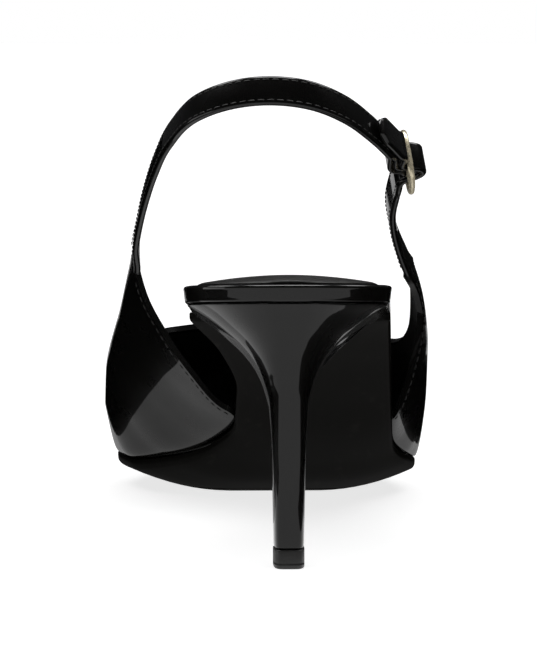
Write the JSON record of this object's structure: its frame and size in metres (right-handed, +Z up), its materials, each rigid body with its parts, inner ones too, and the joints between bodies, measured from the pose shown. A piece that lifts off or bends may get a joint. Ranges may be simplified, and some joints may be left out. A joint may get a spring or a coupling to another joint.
{
  "type": "slingback pump",
  "caption": "Pointed slingback pump with a slim high heel, cut-away sides, a strap round the back of the ankle and an oval buckle.",
  "frame": {"origin": "on the floor under the middle of the shoe's bounding box", "axes": "+Y from the heel to the toe, +Z up, +X to the outer side of the right foot"},
  "size_m": [0.0882, 0.25, 0.1277],
  "materials": {
    "patent_leather": "high gloss patent",
    "lining_leather": "soft semi-gloss",
    "sole_leather": "satin",
    "top_piece_rubber": "matt",
    "buckle_metal": "polished pale gold"
  },
  "bodies": {
    "root": {"upper": "patent_leather", "outsole": "sole_leather", "insole": "patent_leather", "heel_pad": "lining_leather", "heel": "patent_leather", "top_piece": "top_piece_rubber", "sling_band": "patent_leather", "buckle_strap": "patent_leather", "buckle_frame": "buckle_metal", "buckle_prong": "buckle_metal"}
  },
  "joints": []
}
